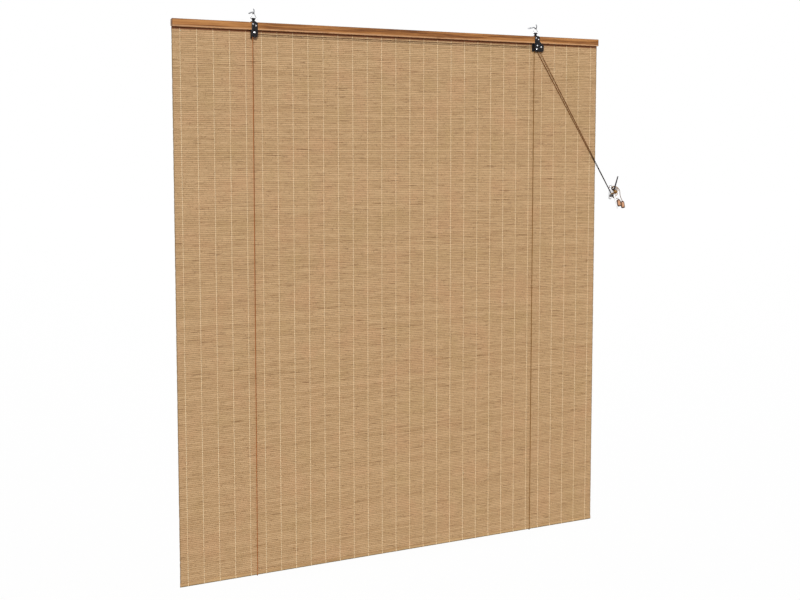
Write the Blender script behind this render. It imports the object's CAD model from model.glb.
# %% [markdown]
# # A bamboo roll-up blind
# The blind hangs from two screw hooks: a wooden head rail holds a mat of split bamboo sticks, and two
# cords run down, round the lower edge and up again through a cord lock to a cleat on the wall.
# The solids come in first as a fixed frame. Every piece of this lesson is set on that frame, in metres,
# with X along the rail, Y into the wall and Z up.

# %% Load the frame
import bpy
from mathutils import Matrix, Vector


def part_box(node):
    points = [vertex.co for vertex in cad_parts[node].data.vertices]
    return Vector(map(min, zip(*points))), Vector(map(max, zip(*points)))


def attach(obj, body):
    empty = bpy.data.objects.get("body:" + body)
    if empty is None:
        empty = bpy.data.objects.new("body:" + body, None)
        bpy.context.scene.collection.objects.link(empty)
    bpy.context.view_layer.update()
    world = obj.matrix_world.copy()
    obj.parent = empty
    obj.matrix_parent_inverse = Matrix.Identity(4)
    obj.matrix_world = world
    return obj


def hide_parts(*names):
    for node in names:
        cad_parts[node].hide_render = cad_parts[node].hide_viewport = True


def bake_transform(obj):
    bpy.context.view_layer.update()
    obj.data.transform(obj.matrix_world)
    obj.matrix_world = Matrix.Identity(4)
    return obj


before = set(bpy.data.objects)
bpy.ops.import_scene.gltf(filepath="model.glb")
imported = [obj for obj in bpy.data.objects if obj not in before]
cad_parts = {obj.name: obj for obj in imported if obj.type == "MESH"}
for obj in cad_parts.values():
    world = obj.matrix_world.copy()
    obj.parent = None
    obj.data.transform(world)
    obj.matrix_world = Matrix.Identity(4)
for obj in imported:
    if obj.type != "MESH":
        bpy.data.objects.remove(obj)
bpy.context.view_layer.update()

import math
import bpy
import numpy as np
from mathutils import Vector

mm = 0.001

# %% [markdown]
# ## Camera
# The blind is seen from the left and from just below its rail, with a normal lens. A level camera would
# need a tall shift to take in the lower edge, so most of the drop comes from a small tilt instead and
# the shift stays small. A little projection says where the corners of the blind fall in the picture.

# %% Camera
def clear_selection():
    bpy.ops.object.select_all(action="DESELECT")


picture_wide, picture_tall = 800, 600
lens_mm, sensor_mm, shift_pixels = 50, 36, 62
tilt, swing = math.radians(4.54), math.radians(25.127)
clear_selection()
bpy.ops.object.camera_add(location=(-1.4389, -3.0662, -0.388), rotation=(math.pi / 2 - tilt, 0, -swing))
camera = bpy.context.active_object
camera.name = "camera"
camera.data.lens, camera.data.sensor_width = lens_mm, sensor_mm
camera.data.shift_y = -shift_pixels / picture_wide
bpy.context.scene.camera = camera
bpy.context.view_layer.update()


def pixel(point):
    """Column and row of a point in the picture."""
    x, y, z = camera.matrix_world.inverted() @ Vector(point)
    focal = picture_wide * lens_mm / sensor_mm
    return (round(picture_wide / 2 - focal * x / z, 1),
            round(picture_tall / 2 + focal * y / z - shift_pixels, 1))


half_wide = 0.7
rail_top, slat_low = (-0.029, -0.03), (-0.019, -1.63)
for y, z in (rail_top, slat_low):
    for x in (-half_wide, half_wide):
        print("corner", (x, y, z), "at pixel", pixel((x, y, z)))

# %% [markdown]
# ## Routes of the four cords
# A cord is a fixed length of something limp, so its route comes before its skin. Each lift cord starts
# under a staple behind the rail, goes down behind the mat, turns round the bottom slat, comes up the
# front and runs over its sheave into the lock. Its free end goes on from the lock to the cleat, makes two
# figures of eight there and ends in a tassel. The numbers are millimetres, and the curve through the
# cleat's points is a Catmull-Rom spline.

# %% Lift cord routes
def curve_through(points, steps):
    """Points of a Catmull-Rom spline through the given ones."""
    p = [np.array(q, float) for q in points]
    out = []
    for i in range(len(p) - 1):
        a, b, c, d = p[max(i - 1, 0)], p[i], p[i + 1], p[min(i + 2, len(p) - 1)]
        for t in np.arange(steps) / steps:
            out.append(0.5 * (2 * b + (c - a) * t + (2 * a - 5 * b + 4 * c - d) * t ** 2
                              + (3 * b - a - 3 * c + d) * t ** 3))
    return out + [p[-1]]


def arc(centre, first, second, radius_1, radius_2, degrees):
    """Points round a centre, radius_1 along the first direction and radius_2 along the second."""
    centre, first, second = np.array(centre), np.array(first), np.array(second)
    return [centre + radius_1 * np.cos(a) * first + radius_2 * np.sin(a) * second
            for a in np.radians(degrees)]


def strand(x, y):
    """Up to the sheave: from the staple, down the back, round the slat and up the front."""
    round_slat = arc((x, -18, -1630.3), (0, 1, 0), (0, 0, -1), 3.3, 1.3, np.linspace(0, 180, 13))
    return [(x, -8.95, -36.75), (x, -8.95, -51.5)] + round_slat + [(x, y, -71.5)]


sheave_z, groove_radius = -69.5, 5.5
left_sheave_x, right_sheave_x = -466, 464
groove_y = {"left": -27, "right": -23.6}
lock_x = {"left": 478.5, "right": 470.5}


def over_sheave(x, side, start, end):
    turn = np.arange(start, end - 1, -9)
    return arc((x, groove_y[side], sheave_z), (1, 0, 0), (0, 0, 1), groove_radius, groove_radius, turn)


def into_lock(side):
    return [(lock_x[side], groove_y[side], -76.5), (lock_x[side], groove_y[side], -77.1)]


lift_routes = {
    "left": (strand(left_sheave_x - groove_radius, groove_y["left"])
             + over_sheave(left_sheave_x, "left", 180, 90)
             + over_sheave(right_sheave_x, "left", 90, 45) + into_lock("left")),
    "right": (strand(right_sheave_x - groove_radius, groove_y["right"])
              + over_sheave(right_sheave_x, "right", 180, 0) + into_lock("right")),
}
print("lift cord routes:", [len(route) for route in lift_routes.values()], "points")

# %% Pull cord routes
cleat_at = np.array((774.0, 0, -528))
tassel_lean = math.radians(12)
tassel_axis = np.array((math.sin(tassel_lean), 0, -math.cos(tassel_lean)))
tassel_tops = {"left": np.array((6.8, -38.5, -23.2)), "right": np.array((24.0, -36, -29.2))}
wraps = {
    "left": [(-6.4, -18.5, -6), (-5, -17.5, -11.9), (0, -17, -14.8), (4.9, -18, -12), (6.6, -22.5, -7),
             (6.2, -27.5, -3.5), (2.5, -29.5, -1), (-2.5, -29.5, 1.8), (-6.2, -27.5, 4.6), (-6.6, -21, 9.3),
             (-4.6, -14.5, 13), (0, -12, 14.8), (4.8, -13, 12.8), (7, -19, 9.5), (7.5, -27, 6.5),
             (5, -31.8, 3.5), (0, -32.2, 0.5), (-5, -31.5, -3), (-8, -27, -7), (-6.5, -23.5, -13.5),
             (0, -21.5, -17.2), (6.3, -23.8, -13.6), (8.8, -29.5, -7), (4.5, -34.4, -3), (0, -34.6, 0),
             (-4.5, -34.4, 3), (-9.8, -30, 7.2), (-8.8, -24.6, 13.2), (0, -21.2, 17.8), (7.6, -22.6, 15.6),
             (11.2, -27.4, 11.2), (10, -33.4, 6), (5, -36.7, 3.6), (0, -36.9, 0.6), (-5, -36.4, -2.8),
             (-9.6, -31, -8), (-7.2, -25.4, -15.2), (0, -23, -19.8), (5, -26, -21), (7.2, -31.5, -20.6)],
    "right": [(-9.4, -20.3, -5.5), (-7.2, -13.6, -12), (0, -12, -14.8), (6, -13.5, -12),
              (6.8, -19.5, -5.5), (6.4, -27.2, -0.9), (2.5, -29.4, 1.8), (-2.5, -29.4, 5),
              (-6.3, -27.2, 8.3), (-6.4, -21.5, 12.7), (-4.4, -18, 15.2), (0, -16.8, 15.8),
              (5, -18, 14.7), (8, -22, 12), (8.4, -28, 10), (5.2, -31.9, 7), (0, -32.2, 4),
              (-5, -31.6, 0.5), (-8.8, -27, -3), (-10.9, -20.5, -8.6), (-8.6, -11.6, -14),
              (0, -8.6, -15.6), (7.4, -10.4, -12.6), (9.4, -18, -5.2), (8.8, -27.5, -1.8),
              (4.8, -34.2, 0.9), (0, -34.7, 3.8), (-4.4, -34.2, 6.8), (-10.2, -29.4, 11.2),
              (-8.4, -22.6, 17.2), (0, -18.9, 19.6), (8.4, -21, 18.2), (13.6, -27.6, 13),
              (14.6, -34, 5.5), (14.8, -36, -4), (17.2, -35.6, -14.5)],
}


def pull_route(side):
    """Straight from the lock to the cleat, round its horns and into the top of the tassel."""
    top = tassel_tops[side]
    on_cleat = curve_through(wraps[side] + [top - 3 * tassel_axis], 6) + [top]
    start = np.array((lock_x[side], groove_y[side], -77.15))
    below = start - (0, 0, 1.2)
    first = cleat_at + on_cleat[0]
    run = [below + (first - below) * t for t in np.linspace(0, 1, 15)[1:-1]]
    return [start, below] + run + [cleat_at + p for p in on_cleat]


pull_routes = {side: pull_route(side) for side in wraps}
for side, route in pull_routes.items():
    print(side, "pull cord:", round(sum(np.linalg.norm(b - a) for a, b in zip(route, route[1:]))), "mm")

# %% [markdown]
# ## Cord tubes
# A tube round a route needs a frame that doesn't twist, so each ring of points carries its direction on
# from the ring before. The UV map has the way round the cord in U and the metres along it in V, so that
# a braid can follow the cord round every bend.

# %% Cord tubes
cord_radius, cord_sides = 1 * mm, 10


def make_active(piece):
    """Selects a piece alone, so that the next operator acts on it."""
    clear_selection()
    piece.select_set(True)
    bpy.context.view_layer.objects.active = piece


def cord_rings(route):
    """One ring of points round each point of a route."""
    points, side = [], None
    for i, p in enumerate(route):
        ahead = route[min(i + 1, len(route) - 1)] - route[max(i - 1, 0)]
        ahead /= np.linalg.norm(ahead)
        if side is None:
            side = np.cross(ahead, (0, 1, 0) if abs(ahead[1]) < 0.9 else (1, 0, 0))
        side = side - side.dot(ahead) * ahead
        side /= np.linalg.norm(side)
        up = np.cross(ahead, side)
        for a in np.arange(cord_sides) * 2 * math.pi / cord_sides:
            points.append(p + cord_radius * (math.cos(a) * side + math.sin(a) * up))
    return points


def tube(name, route_mm):
    """A cord along a route, as its piece, its path and its length."""
    route, sides = [np.array(p, float) * mm for p in route_mm], cord_sides
    count = len(route)
    along = np.concatenate([[0], np.cumsum([np.linalg.norm(b - a) for a, b in zip(route, route[1:])])])
    faces, uvs = [], []
    for i in range(count - 1):
        for k in range(sides):
            n = (k + 1) % sides
            faces.append((i * sides + k, i * sides + n, (i + 1) * sides + n, (i + 1) * sides + k))
            uvs += [(k / sides, along[i]), ((k + 1) / sides, along[i]),
                    ((k + 1) / sides, along[i + 1]), (k / sides, along[i + 1])]
    for ring in (list(range(sides))[::-1], list(range((count - 1) * sides, count * sides))):
        faces.append(ring)
        uvs += [(0.5, along[-1] if ring[0] > sides else 0)] * sides
    mesh = bpy.data.meshes.new(name)
    mesh.from_pydata([tuple(p) for p in cord_rings(route)], [], faces)
    layer = mesh.uv_layers.new(name="cord_uv")
    layer.data.foreach_set("uv", np.array(uvs, np.float32).ravel())
    piece = bpy.data.objects.new(name, mesh)
    bpy.context.scene.collection.objects.link(piece)
    make_active(piece)
    bpy.ops.object.shade_smooth()
    print(name, "is", round(float(along[-1]), 3), "m long")
    return piece, route, float(along[-1])


lifts = {side: tube(f"lift_cord_{side}_braid", route) for side, route in lift_routes.items()}
pulls = {side: tube(f"pull_cord_{side}_braid", route) for side, route in pull_routes.items()}

# %% [markdown]
# ## A short hand for shader nodes
# Finishes are sums and products of noise, so it helps to write them as sums and products. A Value wraps
# one output socket: arithmetic on it adds Math nodes, and `make` adds any other node, with its settings
# first and its sockets after that.

# %% Shader values
class Value:
    def __init__(self, tree, socket):
        self.tree, self.socket = tree, socket

    def make(self, kind, settings=None, sockets=None, out=0):
        node = self.tree.nodes.new("ShaderNode" + kind)
        for key, setting in (settings or {}).items():
            if key == "stops":
                for place, colour in setting:
                    near = [s for s in node.color_ramp.elements if abs(s.position - place) < 1e-6]
                    stop = near[0] if near else node.color_ramp.elements.new(place)
                    stop.color = colour
            else:
                setattr(node, key, setting)
        for key, given in (sockets or {}).items():
            if isinstance(given, Value):
                self.tree.links.new(given.socket, node.inputs[key])
            else:
                node.inputs[key].default_value = given
        return Value(self.tree, node.outputs[out])

    def math(self, operation, *others):
        return self.make("Math", {"operation": operation}, dict(enumerate((self, *others))))

    def __add__(self, other):
        return self.math("ADD", other)

    def __mul__(self, other):
        return self.math("MULTIPLY", other)

    def __sub__(self, other):
        return self.math("SUBTRACT", other)

    def __rsub__(self, other):
        return self.make("Math", {"operation": "SUBTRACT"}, {0: other, 1: self})

    __radd__, __rmul__ = __add__, __mul__

    def floor(self):
        return self.math("FLOOR")

    def between(self, low, high):
        """0 below low and 1 above high, with an eased step."""
        return self.make("MapRange", {"interpolation_type": "SMOOTHSTEP"}, {0: self, 1: low, 2: high})

    def vector(self, y, z):
        return self.make("CombineXYZ", None, {0: self, 1: y, 2: z})

    def noise(self, scale, detail=2.0, rough=0.5):
        sockets = {"Vector": self, "Scale": scale, "Detail": detail, "Roughness": rough}
        return self.make("TexNoise", None, sockets)

    def chance(self):
        """A random number from 0 to 1 for each whole number."""
        return self.make("TexWhiteNoise", {"noise_dimensions": "1D"}, {"W": self})

    def blend(self, first, second):
        """Colour from the first to the second as this value goes from 0 to 1."""
        return self.make("Mix", {"data_type": "RGBA"}, {0: self, 6: first, 7: second}, out=2)

    def ramp(self, *stops):
        """Colour from a row of (place, colour) stops."""
        return self.make("ValToRGB", {"stops": stops}, {0: self})


print("shader values ready")

# %% [markdown]
# ## A short hand for materials
# A Finish is a material with one Principled shader. It hands out the Object coordinates, which are the
# same metres as the frame's, so a mark can be set at its place on the real blind.

# %% Finishes
def srgb(red, green, blue):
    """Linear colour of a screen colour."""
    levels = [c / 255 for c in (red, green, blue)]
    return (*[c / 12.92 if c <= 0.04045 else ((c + 0.055) / 1.055) ** 2.4 for c in levels], 1)


class Finish:
    """A material with its shader, and the coordinates that its patterns read."""

    def __init__(self, name, **numbers):
        self.material = bpy.data.materials.new(name)
        self.material.use_nodes = True
        self.tree = self.material.node_tree
        self.shader = self.tree.nodes["Principled BSDF"]
        for socket, number in numbers.items():
            self.shader.inputs[socket.replace("_", " ")].default_value = number
        self.places = Value(self.tree, self.tree.nodes.new("ShaderNodeTexCoord").outputs["Object"])
        self.x, self.y, self.z = self.split(self.places)

    def split(self, vector):
        parts = self.tree.nodes.new("ShaderNodeSeparateXYZ")
        self.tree.links.new(vector.socket, parts.inputs[0])
        return [Value(self.tree, s) for s in parts.outputs]

    def feed(self, **values):
        for socket, value in values.items():
            self.tree.links.new(value.socket, self.shader.inputs[socket.replace("_", " ")])

    def bump(self, height, distance):
        sockets = {"Height": height, "Distance": distance, "Strength": 1.0}
        self.feed(Normal=height.make("Bump", None, sockets))

    def uv(self, layer):
        return self.split(self.places.make("UVMap", {"uv_map": layer}))[:2]

    def own(self, name):
        """A vector attribute of the mesh, for a pattern that was set before the piece was placed."""
        return self.places.make("Attribute", {"attribute_name": name}, out=1)


print("finishes ready")

# %% [markdown]
# ## Cord finishes
# The cords are thin brown braid. Two families of slanting yarns cross, one to the left and one to the
# right, so the height is a product of two waves in the cord's own UV map. The yarns shade a little at
# their crossings, and a slow noise makes some stretches browner than others. The left lift cord is a
# reddish brown and the right one more olive, and both are darker under the rail and at the worn bend
# round the slat. V is in metres, so a stretch is picked by its distance along the cord.

# %% Lift cord finishes
yarns_round, yarn_pitch = 3, 0.0042


def braid(name, light, dark, crossing):
    made = Finish(name, Roughness=0.8, Specular_IOR_Level=0.03)
    u, made.along = made.uv("cord_uv")
    lean = made.along * (1 / yarn_pitch)
    wave_1 = ((u * yarns_round + lean) * (2 * math.pi)).math("SINE")
    wave_2 = ((u * yarns_round - lean) * (2 * math.pi)).math("SINE")
    made.yarn = wave_1 * wave_2 * 0.5 + 0.5
    made.worn = made.places.noise(60, 3)
    made.colour = (made.yarn * 0.6).blend(made.worn.blend(dark, light), crossing)
    made.feed(Base_Color=made.colour, Roughness=made.worn * 0.2 + 0.65)
    made.bump(made.yarn, 0.0002)
    return made


def lift_braid(name, light, dark, crossing):
    """Braid of a lift cord, darker under the rail and where the cord bends round the slat."""
    made = braid(name, light, dark, crossing)
    across_top = made.along.between(3.17, 3.19)
    round_slat = made.along.between(1.588, 1.594) * (1.604 - made.along).between(0.0, 0.006)
    made.feed(Base_Color=(across_top + round_slat).blend(made.colour, srgb(56, 32, 14)))
    return made


lift_braids = {
    "left": lift_braid("left_lift_braid", srgb(196, 118, 62), srgb(178, 104, 52), srgb(112, 60, 26)),
    "right": lift_braid("right_lift_braid", srgb(160, 114, 54), srgb(142, 100, 44), srgb(88, 58, 22)),
}
print("lift cord finishes have", len(lift_braids["left"].tree.nodes), "nodes each")

# %% [markdown]
# The free ends are one braid in three states. They are brown below the lock, darken to grime where hands
# pull them every day, and are still golden on the outer turns round the cleat. Dirt has gathered on the
# turns at the left of the cleat, so those are picked by their place and not by their length.

# %% Pull cord finish
pull_braid = braid("pull_cord_braid", srgb(148, 94, 44), srgb(122, 76, 34), srgb(70, 40, 16))
grime, shaded_brown, dark_brown = srgb(26, 20, 17), srgb(84, 48, 20), srgb(42, 20, 8)
clean_yarn = pull_braid.worn.blend(srgb(206, 150, 82), srgb(234, 184, 112))
clean = (pull_braid.yarn * 0.55).blend(clean_yarn, srgb(126, 76, 32))
handled = pull_braid.along.between(0.34, 0.43)
wound = pull_braid.along.between(0.58, 0.6)
outer_turns = pull_braid.along.between(0.65, 0.67) * (0.775 - pull_braid.along).between(0.0, 0.02)
golden = ((1 - outer_turns) * 0.8).blend(clean, shaded_brown)
grimy = (handled * 0.97).blend(pull_braid.colour, grime)
below_bar = (-533 * mm - pull_braid.z).between(0.0, 4 * mm)
above_bar = (pull_braid.z + 525 * mm).between(0.0, 3 * mm)
low_turn = below_bar * (775 * mm - pull_braid.x).between(0.0, 4 * mm)
high_turn = above_bar * (771 * mm - pull_braid.x).between(0.0, 3 * mm)
turned_dark = (high_turn * 0.92).blend(golden, dark_brown)
soiled_turns = (low_turn * 0.92).blend(turned_dark, grime)
pull_braid.feed(Base_Color=wound.blend(grimy, soiled_turns))
print("pull cord finish has", len(pull_braid.tree.nodes), "nodes")

# %% [markdown]
# When the blind swings, a lift cord goes with it and the cleat stays on the wall. A pull cord joins the
# two: in front of the mat it rides on the blind, so that the mat can't cut through it, and it bends where
# it passes the mat's right edge.

# %% Dress the cords
def dress(piece, finish, body, slot, *nodes):
    """Gives a piece its finish, the body that it moves with and the solids that it stands for."""
    piece.data.materials.clear()
    piece.data.materials.append(finish.material)
    if body:
        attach(piece, body)
    if nodes:
        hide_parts(*nodes)
    return piece


for side, (piece, path, length) in lifts.items():
    dress(piece, lift_braids[side], "blind", "cord", f"lift_cord_{side}")
for side, (piece, path, length) in pulls.items():
    dress(piece, pull_braid, None, "cord", f"pull_cord_{side}")
    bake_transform(piece)
print("four cords dressed")

# %% [markdown]
# ## Head rail
# The rail is a sawn and stained batten. Wood shows its grain in three sizes: slow bands of lighter and
# darker growth, streaks along the grain, and fine pores. Each is noise on Object coordinates stretched
# along X, because the batten is sawn along the grain. Handling has rubbed the stain thin along the lower
# edge of the front, and stain has gathered on the upper edge and on the end grain.

# %% Wood finish
def wood(name, light, middle, dark, roughness, places=None):
    """Stained wood with its grain along the first of three coordinates."""
    made = Finish(name, Roughness=roughness, Specular_IOR_Level=0.25)
    run, side_1, side_2 = made.split(made.own(places)) if places else (made.x, made.y, made.z)
    bands = (run * 2.6).vector(side_1 * 60, side_2 * 60).noise(1.0, 3, 0.6)
    streaks = (run * 8).vector(side_1 * 260, side_2 * 260).noise(1.0, 4, 0.65)
    pores = (run * 70).vector(side_1 * 2600, side_2 * 2600).noise(1.0, 2)
    tone = bands * 0.45 + streaks * 0.55
    ground = tone.between(0.36, 0.64).ramp((0.0, dark), (0.5, middle), (1.0, light))
    made.colour = (pores.between(0.58, 0.74) * 0.3).blend(ground, dark)
    made.feed(Base_Color=made.colour, Roughness=streaks * 0.2 + (roughness - 0.1))
    made.bump(streaks * 0.6 + pores * 0.4, 0.00015)
    return made


rail_wood = wood("rail_wood", srgb(194, 136, 80), srgb(158, 103, 54), srgb(98, 55, 25), 0.5)
bare_wood, thick_stain, end_grain = srgb(214, 166, 122), srgb(104, 62, 28), srgb(84, 48, 24)
wear = (rail_wood.x * 30).vector(rail_wood.z * 200, 0.0).noise(1.0, 3).between(0.2, 0.5)
rubbed = (-46.4 * mm - rail_wood.z).between(0.0, 2.6 * mm) * wear
stained = (rail_wood.z + 32.2 * mm).between(0.0, 2.4 * mm)
ends = (rail_wood.x.math("ABSOLUTE") - 698.6 * mm).between(0.0, 1.2 * mm)
edged = (rubbed * 0.75).blend(rail_wood.colour, bare_wood)
edged = (stained * 0.7).blend(edged, thick_stain)
rail_wood.feed(Base_Color=(ends * 0.75).blend(edged, end_grain))
print("rail finish has", len(rail_wood.tree.nodes), "nodes")

# %% Head rail
def pick(piece, kind, test):
    """Opens edit mode with the points, edges or faces of a piece that pass a test."""
    bpy.ops.object.mode_set(mode="EDIT")
    bpy.ops.mesh.select_mode(type=kind)
    bpy.ops.mesh.select_all(action="DESELECT")
    bpy.ops.object.mode_set(mode="OBJECT")
    groups = {"VERT": piece.data.vertices, "EDGE": piece.data.edges, "FACE": piece.data.polygons}
    for part in groups[kind]:
        part.select = test(part)
    bpy.ops.object.mode_set(mode="EDIT")


def long_edge(piece):
    """Test for edges that run along the rail."""
    points = piece.data.vertices
    return lambda e: abs(points[e.vertices[0]].co.x - points[e.vertices[1]].co.x) > 1


def block(name, low, high):
    """A cube drawn out to a box between two corners, with its place in its mesh."""
    clear_selection()
    low, high = Vector(low), Vector(high)
    bpy.ops.mesh.primitive_cube_add(size=1, location=(low + high) / 2)
    made = bpy.context.active_object
    made.name = name
    made.scale = high - low
    bpy.ops.object.transform_apply(location=True, rotation=True, scale=True)
    return made


rail = block("head_rail_batten", *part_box("head_rail"))
pick(rail, "EDGE", long_edge(rail))
bpy.ops.mesh.bevel(offset=1.2 * mm, segments=4, profile=0.5)
bpy.ops.mesh.select_all(action="SELECT")
bpy.ops.mesh.bevel(offset=0.25 * mm, segments=1)
bpy.ops.object.mode_set(mode="OBJECT")
bpy.ops.object.shade_smooth_by_angle(angle=math.radians(35))
dress(rail, rail_wood, "blind", "rail_wood", "head_rail")
print("rail has", len(rail.data.polygons), "faces")

# %% [markdown]
# ## Back batten
# A second, plainer batten clamps the mat from behind. Nobody sees it once the blind hangs, so it stays
# unstained, and its solid only takes a pale version of the same finish.

# %% Back batten
def coat(finish, *nodes):
    """Puts a finish on solids whose shape is right as it is."""
    for node in nodes:
        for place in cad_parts[node].material_slots:
            place.material = finish.material


batten_wood = wood("batten_wood", srgb(206, 172, 128), srgb(186, 146, 100), srgb(150, 108, 66), 0.6)
coat(batten_wood, "back_batten")
print("back batten coated")

# %% [markdown]
# ## Bamboo finish
# Every stick is split from another part of the cane. The row number comes from Z and seeds the patterns,
# so that streaks and dashes stop at a stick's edge: pale and dark streaks a few centimetres long, short
# dark dashes of skin left on the split, and fine flecks. A slow noise makes wide areas a little pinker or
# more olive.

# %% Bamboo streaks
stick_pitch, ridge_top = 5.4 * mm, -53 * mm
bamboo = Finish("bamboo", Roughness=0.6, Specular_IOR_Level=0.2)
rows = (ridge_top - bamboo.z) * (1 / stick_pitch)
row = rows.floor()
part = rows - row
tone = row.chance()
streak = (bamboo.x * 24).vector(row * 7.31, part * 0.9).noise(1.0, 4, 0.7)
dash = (bamboo.x * 18).vector(row * 9.7, part * 2.8).noise(1.0, 2, 0.5)
fleck = (bamboo.x * 260).vector(row * 5.3, part * 3.0).noise(1.0, 2)
patch = (bamboo.x * 9).vector(bamboo.z * 9, 2.0).noise(1.0, 2)
dark_cane, pale_cane = srgb(188, 152, 110), srgb(210, 174, 131)
pink_cane, olive_cane = srgb(206, 160, 120), srgb(186, 156, 106)
cane_skin, fleck_brown = srgb(112, 76, 42), srgb(130, 94, 56)
ground = (streak * 0.85 + tone * 0.15).between(0.3, 0.7).blend(dark_cane, pale_cane)
pink = (patch.between(0.48, 0.7) * 0.35).blend(ground, pink_cane)
tinted = ((0.46 - patch).between(0.0, 0.2) * 0.25).blend(pink, olive_cane)
dashed = (dash.between(0.64, 0.7) * 0.75).blend(tinted, cane_skin)
flecked = (fleck.between(0.55, 0.7) * 0.5).blend(dashed, fleck_brown)
print("bamboo streaks have", len(bamboo.tree.nodes), "nodes")

# %% [markdown]
# Other marks sit at a place: the joints of the cane, a different one on every stick, dark dust in the
# gaps, darker cut ends, a more golden tone towards the lower edge, which the sun has bleached less, and
# the shaded first stick under the rail.

# %% Bamboo marks
joint_step, gap_dust = 0.31, srgb(94, 64, 36)
joint_brown, end_brown = srgb(134, 98, 62), srgb(104, 84, 46)
raw_cane, shaded_cane = srgb(150, 108, 56), srgb(104, 48, 14)
joint_place = bamboo.x * (1 / joint_step) + tone * 7.3
joint = (joint_place - joint_place.floor()).between(0.985, 0.995)
jointed = (joint * 0.35).blend(flecked, joint_brown)
gap = 1 - (part * 4 * (1 - part)).between(0.0, 0.5)
gapped = (gap * 0.7).blend(jointed, gap_dust)
cut_end = (bamboo.x * bamboo.x).between(0.6965 ** 2, 0.6985 ** 2)
ended = (cut_end * 0.55).blend(gapped, end_brown)
unbleached = (-0.3 - bamboo.z).between(0.0, 1.2) * 0.09
golden_cane = unbleached.blend(ended, raw_cane)
under_rail = (rows + 0.4).between(0.0, 0.1) * (1.0 - rows).between(0.0, 0.35)
bamboo_colour = (under_rail * 0.9).blend(golden_cane, shaded_cane)
fibre = (bamboo.x * 40).vector(bamboo.y * 2600, bamboo.z * 2600).noise(1.0, 3)
bamboo.feed(Base_Color=bamboo_colour, Roughness=fibre * 0.25 + 0.45)
bamboo.bump(fibre * 0.7 + joint * 0.3, 0.00015)
print("bamboo finish has", len(bamboo.tree.nodes), "nodes")

# %% [markdown]
# ## The mat of sticks
# One stick is a cube drawn out to a batten, bevelled along its length and subdivided, so that it can bow
# a little. An Array modifier lays 294 of them under each other. Real sticks are never quite alike, so
# the points of each are then moved by small smooth amounts: a bow up or down, a thicker or thinner
# stretch, and an end that was trimmed a little short.

# %% One stick
shown_sticks, hidden_sticks, stations = 290, 4, 13
stick_count = shown_sticks + hidden_sticks
stick_top = ridge_top + hidden_sticks * stick_pitch
stick_front, mat_y, stick_back = -18.85 * mm, -18 * mm, -17.15 * mm
mat = block("bamboo_sticks", (-half_wide, stick_front, stick_top - stick_pitch),
            (half_wide, stick_back, stick_top))
pick(mat, "EDGE", long_edge(mat))
bpy.ops.mesh.bevel(offset=0.65 * mm, segments=2, profile=0.5)
bpy.ops.object.mode_set(mode="OBJECT")
pick(mat, "EDGE", long_edge(mat))
bpy.ops.mesh.subdivide(number_cuts=stations - 2)
bpy.ops.object.mode_set(mode="OBJECT")
stick_points = len(mat.data.vertices)
print("one stick has", stick_points, "points and", len(mat.data.polygons), "faces")

# %% All sticks
def repeat(piece, count, step, merge=False):
    """Lays copies of a piece in a row with an Array modifier."""
    copies = piece.modifiers.new("copies", "ARRAY")
    copies.count = count
    copies.use_relative_offset, copies.use_constant_offset = False, True
    copies.constant_offset_displace = step
    copies.use_merge_vertices, copies.merge_threshold = merge, 1e-6
    bpy.ops.object.modifier_apply(modifier="copies")


repeat(mat, stick_count, (0, 0, -stick_pitch))
dice = np.random.default_rng(11)
spread, trim_spread = 0.03, 0.25
places = np.zeros(len(mat.data.vertices) * 3)
mat.data.vertices.foreach_get("co", places)
places = places.reshape(-1, stick_points, 3)
for i, stick in enumerate(places):
    middle = stick_top - stick_pitch * (i + 0.5)
    across = stick[:, 0] / half_wide
    bow, lift = dice.normal(0, spread, 2) * mm
    waves = dice.normal(0, spread, 4)
    wide = 1.03 + 0.015 * np.sin(3 * across + waves[0] * 90) * (1 + waves[1])
    thick = 1 + 0.05 * np.sin(2 * across + waves[2] * 90)
    stick[:, 2] = middle + (stick[:, 2] - middle) * wide + bow * (1 - across ** 2)
    stick[:, 1] = mat_y + (stick[:, 1] - mat_y) * thick * (0.98 if i < hidden_sticks else 1)
    stick[:, 1] += lift * (i >= hidden_sticks)
    stick[:, 0] -= np.sign(across) * abs(dice.normal(0, trim_spread)) * mm * (abs(across) > 0.99)
mat.data.vertices.foreach_set("co", places.ravel())
mat.data.update()
bpy.ops.object.shade_smooth_by_angle(angle=math.radians(50))
dress(mat, bamboo, "blind", "bamboo", "bamboo_mat")
print("the mat has", len(mat.data.polygons), "faces")

# %% [markdown]
# ## Warp threads
# Thirty pairs of pale cotton threads hold the sticks. The two threads of a pair pass a stick on opposite
# sides and cross before the next one, so a pair shows one bead on every stick. One stitch over two sticks
# is drawn with a flat ring of four points, extruded from place to place. An Array modifier stacks the
# stitches, the lower end is drawn on round the slat, and another Array sets the pairs side by side.

# %% A wire pen
def start_ring(name, at, turn, radius, sides):
    """A ring of points to draw from, with edit mode left open."""
    clear_selection()
    bpy.ops.mesh.primitive_circle_add(vertices=sides, radius=radius, location=at, rotation=turn)
    made = bpy.context.active_object
    made.name = name
    bpy.ops.object.transform_apply(location=True, rotation=True, scale=True)
    bpy.ops.object.mode_set(mode="EDIT")
    bpy.ops.mesh.select_all(action="SELECT")
    return made


def draw_on(step):
    bpy.ops.mesh.extrude_region_move(TRANSFORM_OT_translate={"value": tuple(step)})


def draw_through(points):
    for a, b in zip(points, points[1:]):
        draw_on(Vector(b) - Vector(a))


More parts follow.
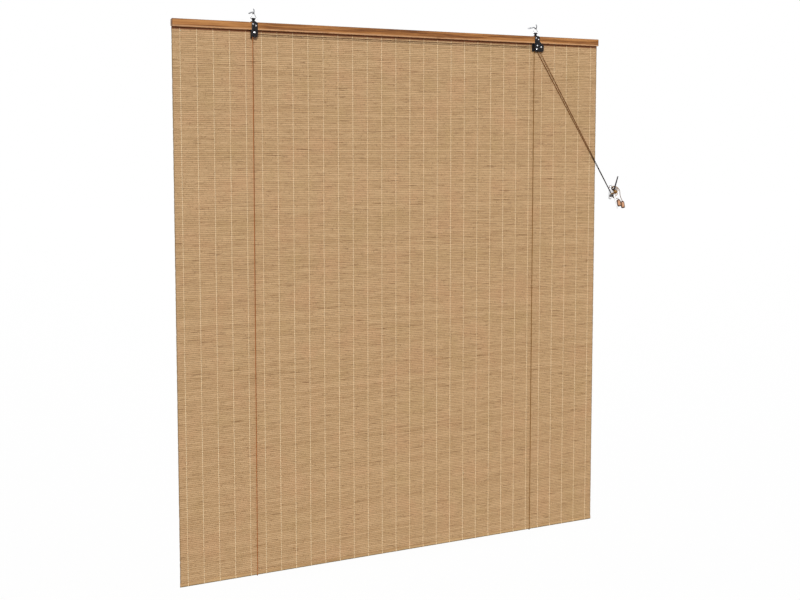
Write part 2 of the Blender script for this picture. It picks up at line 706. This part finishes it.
def lift_pen(piece, closed=False, angle=40):
    """Closes the ends of what was drawn, turns its faces outwards and shades it smooth."""
    bpy.ops.mesh.select_all(action="SELECT")
    if closed:
        bpy.ops.mesh.remove_doubles(threshold=1e-6)
    else:
        bpy.ops.mesh.fill_holes(sides=0)
    bpy.ops.mesh.select_all(action="SELECT")
    bpy.ops.mesh.normals_make_consistent(inside=False)
    bpy.ops.object.mode_set(mode="OBJECT")
    bpy.ops.object.shade_smooth_by_angle(angle=math.radians(angle))
    return piece


print("pen ready")

# %% One thread
thread_wide, thread_thick, thread_out, thread_aside = 1.05 * mm, 0.45 * mm, 1.25 * mm, 0.16 * mm
round_slat_mm = [(0, 0), (2.4, 1.2), (2.4, 9.6), (1.4, 11.4), (0.1, 11.5)]


def stitch_points(x, front):
    """Round one stick in front or behind, then the next one on its other side."""
    points = [(x, mat_y, stick_top)]
    for i, side in enumerate((front, -front)):
        for part_way in (0.18, 0.82):
            z = stick_top - stick_pitch * (i + part_way)
            points.append((x + thread_aside * side, mat_y + side * thread_out, z))
        points.append((x, mat_y, stick_top - stick_pitch * (i + 1)))
    return points


def thread(name, x, front):
    line = stitch_points(x, front)
    made = start_ring(name, line[0], (0, 0, 0), 1.0, 4)
    bpy.ops.transform.resize(value=(thread_wide, thread_thick, 1), center_override=line[0])
    draw_through(line)
    bpy.ops.object.mode_set(mode="OBJECT")
    repeat(made, stick_count // 2, (0, 0, -2 * stick_pitch), merge=True)
    low = stick_top - stick_pitch * stick_count
    pick(made, "VERT", lambda v: v.co.z < low + 0.01 * mm)
    draw_through([(x, mat_y + out * front * mm, low - down * mm) for out, down in round_slat_mm])
    return lift_pen(made, angle=180)


print("one stitch has", len(stitch_points(0, 1)), "points")

# %% Thirty pairs of threads
def join(pieces, name):
    """Makes one piece of several."""
    make_active(pieces[0])
    for piece in pieces[1:]:
        piece.select_set(True)
    bpy.ops.object.join()
    pieces[0].name = name
    return pieces[0]


pairs_each, thread_pieces = 10, ("warp_threads_left", "warp_threads_middle", "warp_threads_right")
pair_step = 2 * half_wide / (pairs_each * len(thread_pieces))
first_x = -half_wide + pair_step / 2
threads = []
for name in thread_pieces:
    pair = join([thread(name, first_x, -1), thread(name + "_2", first_x, 1)], name)
    repeat(pair, pairs_each, (pair_step, 0, 0))
    first_x += pairs_each * pair_step
    threads.append(pair)
    print(name, "has", len(pair.data.polygons), "faces")

# %% [markdown]
# Cotton is a dull, pale finish with fine lint and a few stains. The tops of the threads, where they come
# out from under the rail, are as dark as the first stick.

# %% Thread finish
cotton = Finish("warp_cotton", Roughness=0.9, Specular_IOR_Level=0.1)
lint = (cotton.x * 900).vector(cotton.y * 900, cotton.z * 300).noise(1.0, 2)
stain = cotton.places.noise(14, 2)
soiled = stain.between(0.4, 0.7).blend(srgb(246, 219, 178), srgb(235, 205, 162))
linted = (lint.between(0.55, 0.75) * 0.3).blend(soiled, srgb(206, 170, 126))
tops = (cotton.z + 59 * mm).between(0.0, 4 * mm)
cotton.feed(Base_Color=(tops * 0.85).blend(linted, srgb(104, 62, 30)), Roughness=lint * 0.2 + 0.75)
cotton.bump(lint, 0.0001)
for piece in threads:
    dress(piece, cotton, "blind", "bamboo")
print("threads dressed")

# %% [markdown]
# ## Bottom slat
# The slat is a stiffer strip of the same cane along the lower edge, with its edges rounded by hand so
# that the threads and the cords aren't cut. It is a drawn-out cube with a bevel along its length, and its
# lowest edge is left darker.

# %% Bottom slat
slat_cane = wood("slat_cane", srgb(200, 163, 117), srgb(185, 148, 104), srgb(160, 121, 80), 0.55)
low_edge = (-1626.5 * mm - slat_cane.z).between(0.0, 1.5 * mm)
slat_cane.feed(Base_Color=(low_edge * 0.85).blend(slat_cane.colour, srgb(106, 88, 44)))
slat = block("bottom_slat_strip", *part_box("bottom_slat"))
pick(slat, "EDGE", long_edge(slat))
bpy.ops.mesh.bevel(offset=1.3 * mm, segments=3, profile=0.5)
bpy.ops.object.mode_set(mode="OBJECT")
bpy.ops.object.shade_smooth_by_angle(angle=math.radians(40))
dress(slat, slat_cane, "blind", "bamboo", "bottom_slat")
print("slat has", len(slat.data.polygons), "faces")

# %% [markdown]
# ## Metal finishes
# Bare steel is told by its gloss: a metallic shader whose roughness wanders, with cloudy stains and fine
# scratches. The brackets are steel under black paint, so their shader isn't metallic, with the small
# bumps of a thick coat. The moulded sheaves share the same pattern of small flaws.

# %% Metal finishes
def metal(name, colour, roughness, scale=900, spread=0.18, metallic=1.0, stain=0.7, gloss=0.5):
    made = Finish(name, Metallic=metallic, Specular_IOR_Level=gloss)
    cloudy = made.places.noise(scale * 0.12, 3)
    fine = made.places.noise(scale, 3, 0.6)
    dull = tuple(c * stain for c in srgb(*colour)[:3]) + (1,)
    made.colour = cloudy.between(0.35, 0.7).blend(dull, srgb(*colour))
    made.feed(Base_Color=made.colour, Roughness=fine * spread + cloudy * spread + (roughness - spread))
    made.bump(fine, 0.00004)
    return made


hook_steel = metal("hook_steel", (150, 152, 156), 0.38)
ring_steel = metal("ring_steel", (214, 214, 216), 0.2)
bright_steel = metal("bright_steel", (252, 252, 252), 0.24, stain=0.9)
screw_steel = metal("screw_steel", (206, 204, 206), 0.34)
cleat_nickel = metal("cleat_nickel", (246, 246, 247), 0.24, scale=600, stain=0.93)
black_paint = metal("black_paint", (16, 15, 18), 0.42, scale=1500, spread=0.14, metallic=0.0, gloss=0.22)
dark_pin = metal("dark_pin", (70, 66, 64), 0.4)
cam_brass = metal("cam_brass", (186, 150, 84), 0.3)
sheave_plastic = metal("sheave_plastic", (96, 62, 40), 0.5, scale=700, spread=0.1, metallic=0.0)
print("metals ready")

# %% [markdown]
# ## Screw hooks
# A hook is one piece of wire: a threaded shank, a short elbow and an open bend. It is drawn as it is bent
# in a vice, from a ring of points at the shank's tip, with extrude for the straight lengths and spin for
# the bends. The thread is a small triangle that a Screw modifier winds round the shank, pressed in
# towards the tip.

# %% Hook wire
hook_x, hang_y = 466 * mm, -18 * mm
shank_tip, taper, tip_radius = 30 * mm, 6 * mm, 0.25 * mm
elbow_y, elbow_z, elbow_turn = -9.38 * mm, -3 * mm, 65.1
bowl_z, bowl_radius, bowl_turn = 1 * mm, 6.5 * mm, 215.1
open_end = math.radians(120)


def swell(factor, centre):
    bpy.ops.transform.resize(value=(factor, factor, factor), center_override=tuple(centre))


def bend(centre, axis, degrees, steps):
    bpy.ops.mesh.spin(steps=steps, angle=math.radians(degrees), center=tuple(centre), axis=axis)


def hook_wire(name, x):
    made = start_ring(name, (x, shank_tip, 0), (math.pi / 2, 0, 0), tip_radius, 14)
    draw_on((0, -taper, 0))
    swell(6, (x, shank_tip - taper, 0))
    draw_on((0, taper - shank_tip, 0))
    draw_on((0, elbow_y, 0))
    bend((x, elbow_y, elbow_z), (-1, 0, 0), elbow_turn, 8)
    bend((x, hang_y, bowl_z), (1, 0, 0), bowl_turn, 26)
    tip = Vector((0, math.sin(open_end), -math.cos(open_end)))
    end = Vector((x, hang_y, bowl_z)) + bowl_radius * Vector((0, math.cos(open_end), math.sin(open_end)))
    draw_on(tip * 0.9 * mm)
    swell(0.85, end + tip * 0.9 * mm)
    draw_on(tip * 0.4 * mm)
    swell(0.5, end + tip * 1.3 * mm)
    return lift_pen(made)


hook_places = {"left": -hook_x, "right": hook_x}
hooks = {side: hook_wire(f"screw_hook_{side}_wire", x) for side, x in hook_places.items()}
print("hooks have", [len(h.data.polygons) for h in hooks.values()], "faces")

# %% Hook thread
thread_lead, thread_turns = 1.5 * mm, 17


def hook_thread(x):
    clear_selection()
    bpy.ops.mesh.primitive_circle_add(vertices=3, radius=0.5 * mm, location=(1.45 * mm, 0.9 * mm, 0),
                                      rotation=(0, 0, -math.pi / 2))
    made = bpy.context.active_object
    bpy.ops.object.transform_apply(location=True, rotation=True, scale=True)
    winding = made.modifiers.new("winding", "SCREW")
    winding.axis, winding.screw_offset, winding.iterations = "Y", thread_lead, thread_turns
    winding.steps = winding.render_steps = 16
    bpy.ops.object.modifier_apply(modifier="winding")
    for v in made.data.vertices:
        slim = min(1.0, max(0.25, (29 * mm - v.co.y) / (8 * mm)))
        v.co.x, v.co.z = v.co.x * slim, v.co.z * slim
    pick(made, "VERT", lambda v: True)
    bpy.ops.transform.translate(value=(x, 0, 0))
    return lift_pen(made, angle=30)


for side, hook in hooks.items():
    join([hook, hook_thread(hook_places[side])], hook.name)
    dress(hook, hook_steel, "wall_fittings", "hook_steel", f"screw_hook_{side}")
    print(hook.name, "has", len(hook.data.polygons), "faces with its thread")

# %% [markdown]
# ## Rings
# Each ring is a closed triangle of thinner bright wire: a bar that the bracket's knuckle is curled round,
# two corners, two legs and an apex that hangs in the hook. It is drawn all the way round from the middle
# of the bar, and its first and last rings of points are merged.

# %% Rings
ring_wire_radius, bar_half, bar_z = 1.0 * mm, 6.3 * mm, -19.5 * mm
corner_z, apex_z, leg_lean = -17.5 * mm, -5.5 * mm, 25.37
leg_low, leg_top = Vector((8.107, 0, -16.643)) * mm, Vector((2.304, 0, -4.407)) * mm


def ring_wire(name, x):
    made = start_ring(name, (x, hang_y, bar_z), (0, math.pi / 2, 0), ring_wire_radius, 12)
    draw_on((bar_half, 0, 0))
    bend((x + bar_half, hang_y, corner_z), (0, 1, 0), 90 + leg_lean, 9)
    draw_on(leg_top - leg_low)
    bend((x, hang_y, apex_z), (0, 1, 0), 180 - 2 * leg_lean, 10)
    draw_on((leg_top.x - leg_low.x, 0, leg_low.z - leg_top.z))
    bend((x - bar_half, hang_y, corner_z), (0, 1, 0), 90 + leg_lean, 9)
    draw_on((bar_half, 0, 0))
    return lift_pen(made, closed=True)


for side, x in hook_places.items():
    ring = ring_wire(f"ring_{side}_wire", x)
    dress(ring, ring_steel, "wall_fittings", "ring_steel", f"ring_{side}")
    print(ring.name, "has", len(ring.data.polygons), "faces")

# %% [markdown]
# ## Brackets
# The brackets are stamped from plate and folded, and the solids already have their outlines. What a solid
# lacks is the soft edge that stamping and paint give. A copy of each has its triangles merged back into
# flat faces, and a Bevel modifier rounds the sharp edges, so that they catch the light. Dust greys the
# paint in patches.

# %% Brackets
def solid_copy(node, name):
    """A copy of a solid's mesh, merged into flat faces."""
    made = bpy.data.objects.new(name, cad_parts[node].data.copy())
    bpy.context.scene.collection.objects.link(made)
    make_active(made)
    bpy.ops.mesh.customdata_custom_splitnormals_clear()
    bpy.ops.object.mode_set(mode="EDIT")
    bpy.ops.mesh.select_all(action="SELECT")
    bpy.ops.mesh.remove_doubles(threshold=1e-6)
    bpy.ops.mesh.dissolve_limited(angle_limit=math.radians(1))
    bpy.ops.object.mode_set(mode="OBJECT")
    return made


def soften(piece, width):
    """Rounds the sharp edges of a piece."""
    edges = piece.modifiers.new("edges", "BEVEL")
    edges.width, edges.segments, edges.limit_method = width, 2, "ANGLE"
    edges.angle_limit, edges.use_clamp_overlap = math.radians(35), False
    bpy.ops.object.modifier_apply(modifier="edges")
    bpy.ops.object.shade_smooth_by_angle(angle=math.radians(40))


dust = black_paint.places.noise(260, 3).between(0.45, 0.75)
black_paint.feed(Base_Color=(dust * 0.16).blend(black_paint.colour, srgb(92, 86, 96)))
for side in ("left", "right"):
    bracket = solid_copy(f"bracket_{side}", f"bracket_{side}_plate")
    flat = len(bracket.data.polygons)
    soften(bracket, 0.22 * mm)
    dress(bracket, black_paint, "blind", "bracket_metal", f"bracket_{side}")
    print(bracket.name, "went from", flat, "to", len(bracket.data.polygons), "faces")

# %% [markdown]
# ## Screws and pins
# Screws, rivets and axles are turned parts: a ring of points drawn along the axis, made wider or narrower
# at each step. The heads are domed. A screw's cross is cut by a Boolean modifier with two crossed bars.
# All these steps are in millimetres, as on a lathe drawing.

# %% Turned pins
def turned(name, at, way, profile, sides=20):
    """A turned piece from (distance along the axis, radius) steps in millimetres."""
    at, way = Vector(at), Vector(way)
    turn = way.to_track_quat("Z", "Y").to_euler()
    made = start_ring(name, at + way * profile[0][0] * mm, turn, profile[0][1] * mm, sides)
    for (a, wide_a), (b, wide_b) in zip(profile, profile[1:]):
        draw_on(way * (b - a) * mm)
        if wide_b != wide_a:
            swell(wide_b / wide_a, at + way * b * mm)
    return lift_pen(made)


inwards = (0, 1, 0)
plate_front, rear_face, bracket_x = -30.2, -20.4, 466
head_radius, pin_radius = 2.6, 1.5
dome = [(-1.0, 0.5), (-0.96, 1.2), (-0.8, 1.9), (-0.5, 2.4), (-0.2, head_radius), (0.0, head_radius)]


def pin(name, x, z, shaft, head=head_radius):
    """A domed head on the plate, a shaft through the housing and a flat head behind."""
    front = [(d, r * head / head_radius) for d, r in dome]
    through = rear_face - plate_front
    rear = [(through, 2.1), (through + 0.35, 2.1), (through + 0.5, 1.8)]
    steps = front + [(0.0, shaft), (through, shaft)] + rear
    return turned(name, (x * mm, plate_front * mm, z * mm), inwards, steps)


rivets = join([pin("rivet", x, -59, 2.1) for x in (-bracket_x, bracket_x)], "spacer_rivets_domed")
dress(rivets, bright_steel, "blind", "fastener_steel", "spacer_rivets")
left_axle = pin("sheave_axle_left_pin", left_sheave_x, sheave_z, pin_radius, 1.95)
dress(left_axle, dark_pin, "blind", "dark_pin", "sheave_axle_left")
right_axle = pin("sheave_axle_right_pin", right_sheave_x, sheave_z, pin_radius)
dress(right_axle, bright_steel, "blind", "fastener_steel", "sheave_axle_right")
cam_pivot = pin("cam_pivot_pin", 480, -63.5, pin_radius)
dress(cam_pivot, bright_steel, "blind", "fastener_steel", "cam_pivot")
print("pins made, the last with", len(cam_pivot.data.polygons), "faces")

# %% Bracket screws
cross_long, cross_wide, cross_deep = 2.6, 0.55, 0.55
screw_shank = [(0.0, 1.5), (8.0, 1.5), (9.2, 0.3)]


def screw(x, z):
    made = turned("screw", (x * mm, plate_front * mm, z * mm), inwards, dome + screw_shank)
    bars = []
    for wide, tall in ((cross_long, cross_wide), (cross_wide, cross_long)):
        low = Vector((x - wide / 2, plate_front - 2, z - tall / 2)) * mm
        high = Vector((x + wide / 2, plate_front - cross_deep, z + tall / 2)) * mm
        bars.append(block("bar", low, high))
    cross = join(bars, "cross")
    make_active(made)
    cut = made.modifiers.new("cut", "BOOLEAN")
    cut.operation, cut.object, cut.solver, cut.use_self = "DIFFERENCE", cross, "EXACT", True
    bpy.ops.object.modifier_apply(modifier="cut")
    bpy.ops.object.shade_smooth_by_angle(angle=math.radians(40))
    bpy.data.objects.remove(cross)
    return made


screw_places = [(x + aside, z) for x in (-bracket_x, bracket_x) for aside, z in ((-4.5, -36), (4, -40))]
screws = join([screw(x, z) for x, z in screw_places], "bracket_screws_crossed")
dress(screws, screw_steel, "blind", "fastener_steel", "bracket_screws")
print("screws have", len(screws.data.polygons), "faces")

# %% [markdown]
# ## Cleat
# The cleat is cast in one piece, so its corners are never sharp. A copy of the solid is remade in small
# cubes by a Remesh modifier, which lets a Smooth modifier melt its corners. It is nickel plated, and the
# plating of the upper horn, which every turn of the cord rubs, is worn through to dark metal.

# %% Cleat
cleat = solid_copy("cord_cleat", "cord_cleat_casting")
remade = cleat.modifiers.new("remade", "REMESH")
remade.mode, remade.voxel_size = "VOXEL", 0.5 * mm
bpy.ops.object.modifier_apply(modifier="remade")
melted = cleat.modifiers.new("melted", "SMOOTH")
melted.factor, melted.iterations = 0.5, 8
bpy.ops.object.modifier_apply(modifier="melted")
bpy.ops.object.shade_smooth()
upper = (cleat_nickel.z + 521 * mm).between(0.0, 4 * mm)
worn_horn = upper * (-21 * mm - cleat_nickel.y).between(0.0, 3 * mm)
cleat_nickel.feed(Base_Color=worn_horn.blend(cleat_nickel.colour, srgb(98, 96, 102)))
dress(cleat, cleat_nickel, "wall_fittings", "cleat_metal", "cord_cleat")
print("cleat has", len(cleat.data.polygons), "faces")

# %% [markdown]
# ## Tassels
# A tassel is turned from a short piece of the rail's wood, with a hole for the cord, an eased shoulder and
# a hollow end. It is turned upright at the origin, and its coordinates there are kept in an attribute, so
# that the grain, the darker heartwood at its flanks and the dark rim stay on it when it is leaned over
# and hung on its cord.

# %% Tassel shape
tassel_radius = 6.5
tassel_steps = [(0.1, 1.2), (0.1, 2.4), (0.9, 3.6), (2.2, 5.0), (4.0, 6.1), (6.5, tassel_radius),
                (21.5, tassel_radius), (22.9, 6.3), (23.7, 5.7), (24.0, 5.0), (24.0, 4.2), (23.6, 3.7),
                (20.5, 3.4), (20.0, 1.6)]


def tassel(side):
    made = turned(f"tassel_{side}_turned", (0, 0, 0), (0, 0, -1), tassel_steps, 28)
    own = made.data.attributes.new("turned", "FLOAT_VECTOR", "POINT")
    upright = np.array([(-v.co.z, v.co.x, v.co.y) for v in made.data.vertices], np.float32)
    own.data.foreach_set("vector", upright.ravel())
    made.location = Vector((cleat_at + tassel_tops[side]) * mm)
    made.rotation_euler = (0, -tassel_lean, 0)
    bpy.ops.object.transform_apply(location=True, rotation=True, scale=True)
    return made


tassels = {side: tassel(side) for side in ("left", "right")}
print("tassels have", [len(t.data.polygons) for t in tassels.values()], "faces")

# %% Tassel finish
tassel_wood = wood("tassel_wood", srgb(236, 184, 146), srgb(206, 146, 102), srgb(122, 72, 42), 0.3, "turned")
tassel_wood.shader.inputs["Specular IOR Level"].default_value = 0.6
heart_brown, rim_brown, neck_brown = srgb(66, 32, 14), srgb(40, 16, 8), srgb(104, 62, 36)
down, turned_x, turned_y = tassel_wood.split(tassel_wood.own("turned"))
forward = (turned_x * -0.42 + turned_y * -0.91) * (1 / (tassel_radius * mm))
heartwood = (0.95 - forward).between(0.0, 0.3)
rim = (down - 17.0 * mm).between(0.0, 5.0 * mm)
neck = (7.0 * mm - down).between(0.0, 4.5 * mm)
flanked = (heartwood * 0.95).blend(tassel_wood.colour, heart_brown)
darkened = (rim * 0.95).blend(flanked, rim_brown)
tassel_wood.feed(Base_Color=(neck * 0.75).blend(darkened, neck_brown))
for side, piece in tassels.items():
    dress(piece, tassel_wood, "wall_fittings", "tassel_wood", f"tassel_{side}")
print("tassels dressed")

# %% [markdown]
# ## Sheaves, cam and hidden fasteners
# These solids have the right shape: two grooved sheaves, the eccentric cam between the cheeks, and the
# nails and staples behind the rail. They only need their finishes.

# %% Sheaves, cam and hidden fasteners
coat(sheave_plastic, "sheave_left", "sheave_right")
coat(cam_brass, "lock_cam")
coat(hook_steel, "batten_nails", "cord_staples")
print("solids coated")

# %% [markdown]
# ## Cords as cords
# A part that is used in a simulation has to know which pieces are limp. Each cord is declared with the
# place where it starts, its length, its thickness and its path, and each free end carries its tassel.

print("cords declared")

# %% [markdown]
# ## Studio
# A pale floor, a white surround and a lamp above the camera, like a softbox far away. Its rays come down
# at about twenty degrees, so the rail and the cross cord shade the mat just below themselves. A weaker
# lamp without shadows lights the back, for a look from behind. The surround is brighter for the camera
# and for reflections than as a light, and the floor adds a glow of its own to what the camera sees, so
# that the ground is paper white and still keeps a faint shadow.

# %% Floor
clear_selection()
bpy.ops.mesh.primitive_plane_add(size=60, location=(0, 0, -2.1))
floor = bpy.context.active_object
floor.name = "floor"
floor_finish = Finish("floor_white", Roughness=0.9, Base_Color=(0.85, 0.85, 0.85, 1))
floor_rays = floor_finish.tree.nodes.new("ShaderNodeLightPath")
seen = Value(floor_finish.tree, floor_rays.outputs["Is Camera Ray"])
glow = seen.make("Emission", None, {"Strength": 1.07})
lit = Value(floor_finish.tree, floor_finish.shader.outputs[0])
mixed = seen.make("MixShader", None, {0: seen * 0.85, 1: lit, 2: glow})
floor_finish.tree.links.new(mixed.socket, floor_finish.tree.nodes["Material Output"].inputs[0])
floor.data.materials.append(floor_finish.material)
print("floor laid")

# %% Surround
world = bpy.data.worlds.new("studio")
bpy.context.scene.world = world
world.use_nodes = True
sky = world.node_tree.nodes["Background"]
sky.inputs["Color"].default_value = (1, 1, 1, 1)
rays = world.node_tree.nodes.new("ShaderNodeLightPath")
shown = Value(world.node_tree, rays.outputs["Is Camera Ray"])
for kind in ("Is Glossy Ray", "Is Transmission Ray"):
    shown = shown.math("MAXIMUM", Value(world.node_tree, rays.outputs[kind]))
fill = 0.27
world.node_tree.links.new((shown * (1 - fill) + fill).socket, sky.inputs["Strength"])
bpy.context.scene.view_settings.view_transform = "Standard"
print("surround fills with", fill)

# %% Lamps
def softbox(name, at, way, degrees, energy, shadow):
    """A far lamp that shines along a direction, as wide as an angle in the sky."""
    clear_selection()
    bpy.ops.object.light_add(type="SUN", location=at)
    lamp = bpy.context.active_object
    lamp.name = name
    lamp.rotation_euler = way.to_track_quat("-Z", "Y").to_euler()
    lamp.data.angle, lamp.data.energy = math.radians(degrees), energy
    lamp.data.use_shadow = shadow


height, aside = math.radians(19), math.radians(-25)
level = math.cos(height)
towards = Vector((-math.sin(aside) * level, math.cos(aside) * level, -math.sin(height)))
from_behind = Vector((-towards.x, -towards.y, towards.z))
softbox("softbox", (-1.4, -3, 1.2), towards, 7, 2.13, True)
softbox("back_softbox", (1.4, 3, 1.2), from_behind, 20, 1.1, False)
print("lamps shine along", [[round(c, 2) for c in way] for way in (towards, from_behind)])
